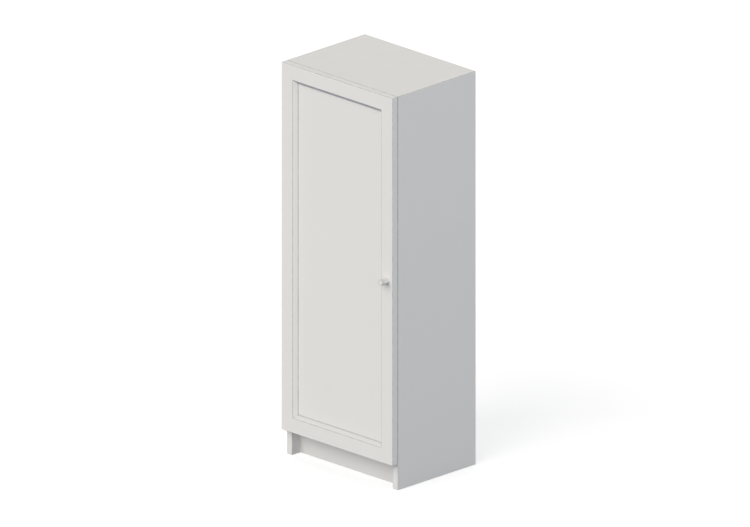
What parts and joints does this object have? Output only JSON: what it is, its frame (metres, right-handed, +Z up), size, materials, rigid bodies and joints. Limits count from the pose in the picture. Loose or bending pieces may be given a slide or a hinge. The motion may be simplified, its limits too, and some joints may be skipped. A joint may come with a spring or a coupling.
{
  "type": "broom cupboard",
  "caption": "Tall narrow painted broom cupboard with a framed lay-on door, round knob, recessed plinth, shelf and peg rail inside.",
  "frame": {"origin": "on the floor, at the middle of the case's width and of the depth from knob to back", "axes": "+X to the right of the front, +Y to the back, +Z up"},
  "size_m": [0.6077, 0.485, 1.595],
  "materials": {
    "painted_timber": "satin paint",
    "painted_back": "matt paint",
    "beech": "oiled",
    "hinge_steel": "satin",
    "zinc_steel": "bright zinc",
    "cast_zinc": "cast",
    "ferrite": "matt",
    "catch_plastic": "matt",
    "bumper_rubber": "soft"
  },
  "bodies": {
    "cabinet": {"left_gable": "painted_timber", "right_gable": "painted_timber", "top_panel": "painted_timber", "deck_panel": "painted_timber", "plinth_board": "painted_timber", "wall_rail": "painted_timber", "peg_rail": "painted_timber", "shelf": "painted_timber", "back_panel": "painted_back", "glue_blocks": "beech", "dowels": "beech", "pegs": "beech", "upper_hinge_cabinet_leaf": "hinge_steel", "upper_hinge_pin": "hinge_steel", "middle_hinge_cabinet_leaf": "hinge_steel", "middle_hinge_pin": "hinge_steel", "lower_hinge_cabinet_leaf": "hinge_steel", "lower_hinge_pin": "hinge_steel", "cabinet_hinge_screws": "zinc_steel", "catch_screws": "zinc_steel", "back_screws": "zinc_steel", "block_screws": "zinc_steel", "cam_bolts": "zinc_steel", "shelf_supports": "zinc_steel", "catch_pole_plates": "zinc_steel", "cam_discs": "cast_zinc", "catch_magnets": "ferrite", "upper_catch": "catch_plastic", "lower_catch": "catch_plastic"},
    "door": {"door_hinge_stile": "painted_timber", "door_closing_stile": "painted_timber", "door_bottom_rail": "painted_timber", "door_top_rail": "painted_timber", "door_panel": "painted_timber", "knob": "painted_timber", "knob_bolt": "zinc_steel", "knob_washer": "zinc_steel", "upper_hinge_door_leaf": "hinge_steel", "middle_hinge_door_leaf": "hinge_steel", "lower_hinge_door_leaf": "hinge_steel", "door_hinge_screws": "zinc_steel", "strike_plates": "zinc_steel", "strike_screws": "zinc_steel", "door_bumpers": "bumper_rubber"}
  },
  "joints": [
    {"name": "door_swing", "type": "hinge", "parent": "cabinet", "child": "door", "pos_m": [-0.30405, -0.1789, 0.85], "axis": [0, 0, -1], "range_deg": [0, 180]}
  ]
}
